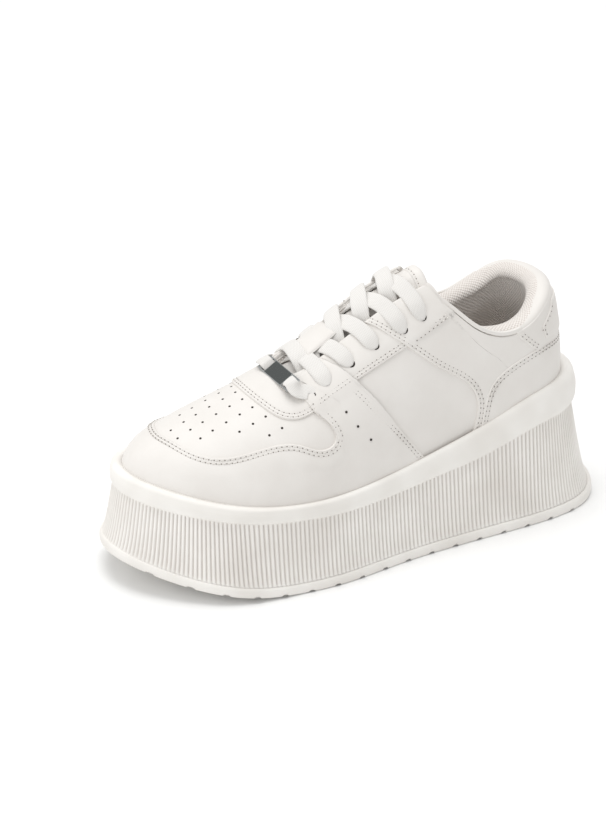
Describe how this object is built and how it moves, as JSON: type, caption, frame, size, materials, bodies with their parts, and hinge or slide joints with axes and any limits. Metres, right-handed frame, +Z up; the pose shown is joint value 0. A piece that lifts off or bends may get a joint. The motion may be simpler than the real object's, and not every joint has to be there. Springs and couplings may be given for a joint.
{
  "type": "platform sneaker",
  "caption": "Left low-top leather platform sneaker with a tall ribbed sole, open padded collar, lace-up throat and small metal lace tag.",
  "frame": {"origin": "on the floor, under the middle of the shoe's bounding box", "axes": "+X towards the toe, +Y towards the outer side of the foot, +Z up"},
  "size_m": [0.29, 0.113, 0.1488],
  "materials": {
    "sole_rubber": "matt moulded off-white rubber",
    "lining": "fine grey-beige knitted mesh",
    "leather": "smooth off-white leather with a soft sheen",
    "lace": "flat off-white woven tape",
    "tag_metal": "polished"
  },
  "bodies": {
    "root": {"outsole": "sole_rubber", "midsole": "sole_rubber", "insole": "lining", "upper": "leather", "tongue": "leather", "tongue_keeper": "leather", "toe_overlay": "leather", "eyestay": "leather", "heel_counter": "leather", "heel_tab": "leather", "lace": "lace", "lace_tag": "tag_metal"}
  },
  "joints": []
}
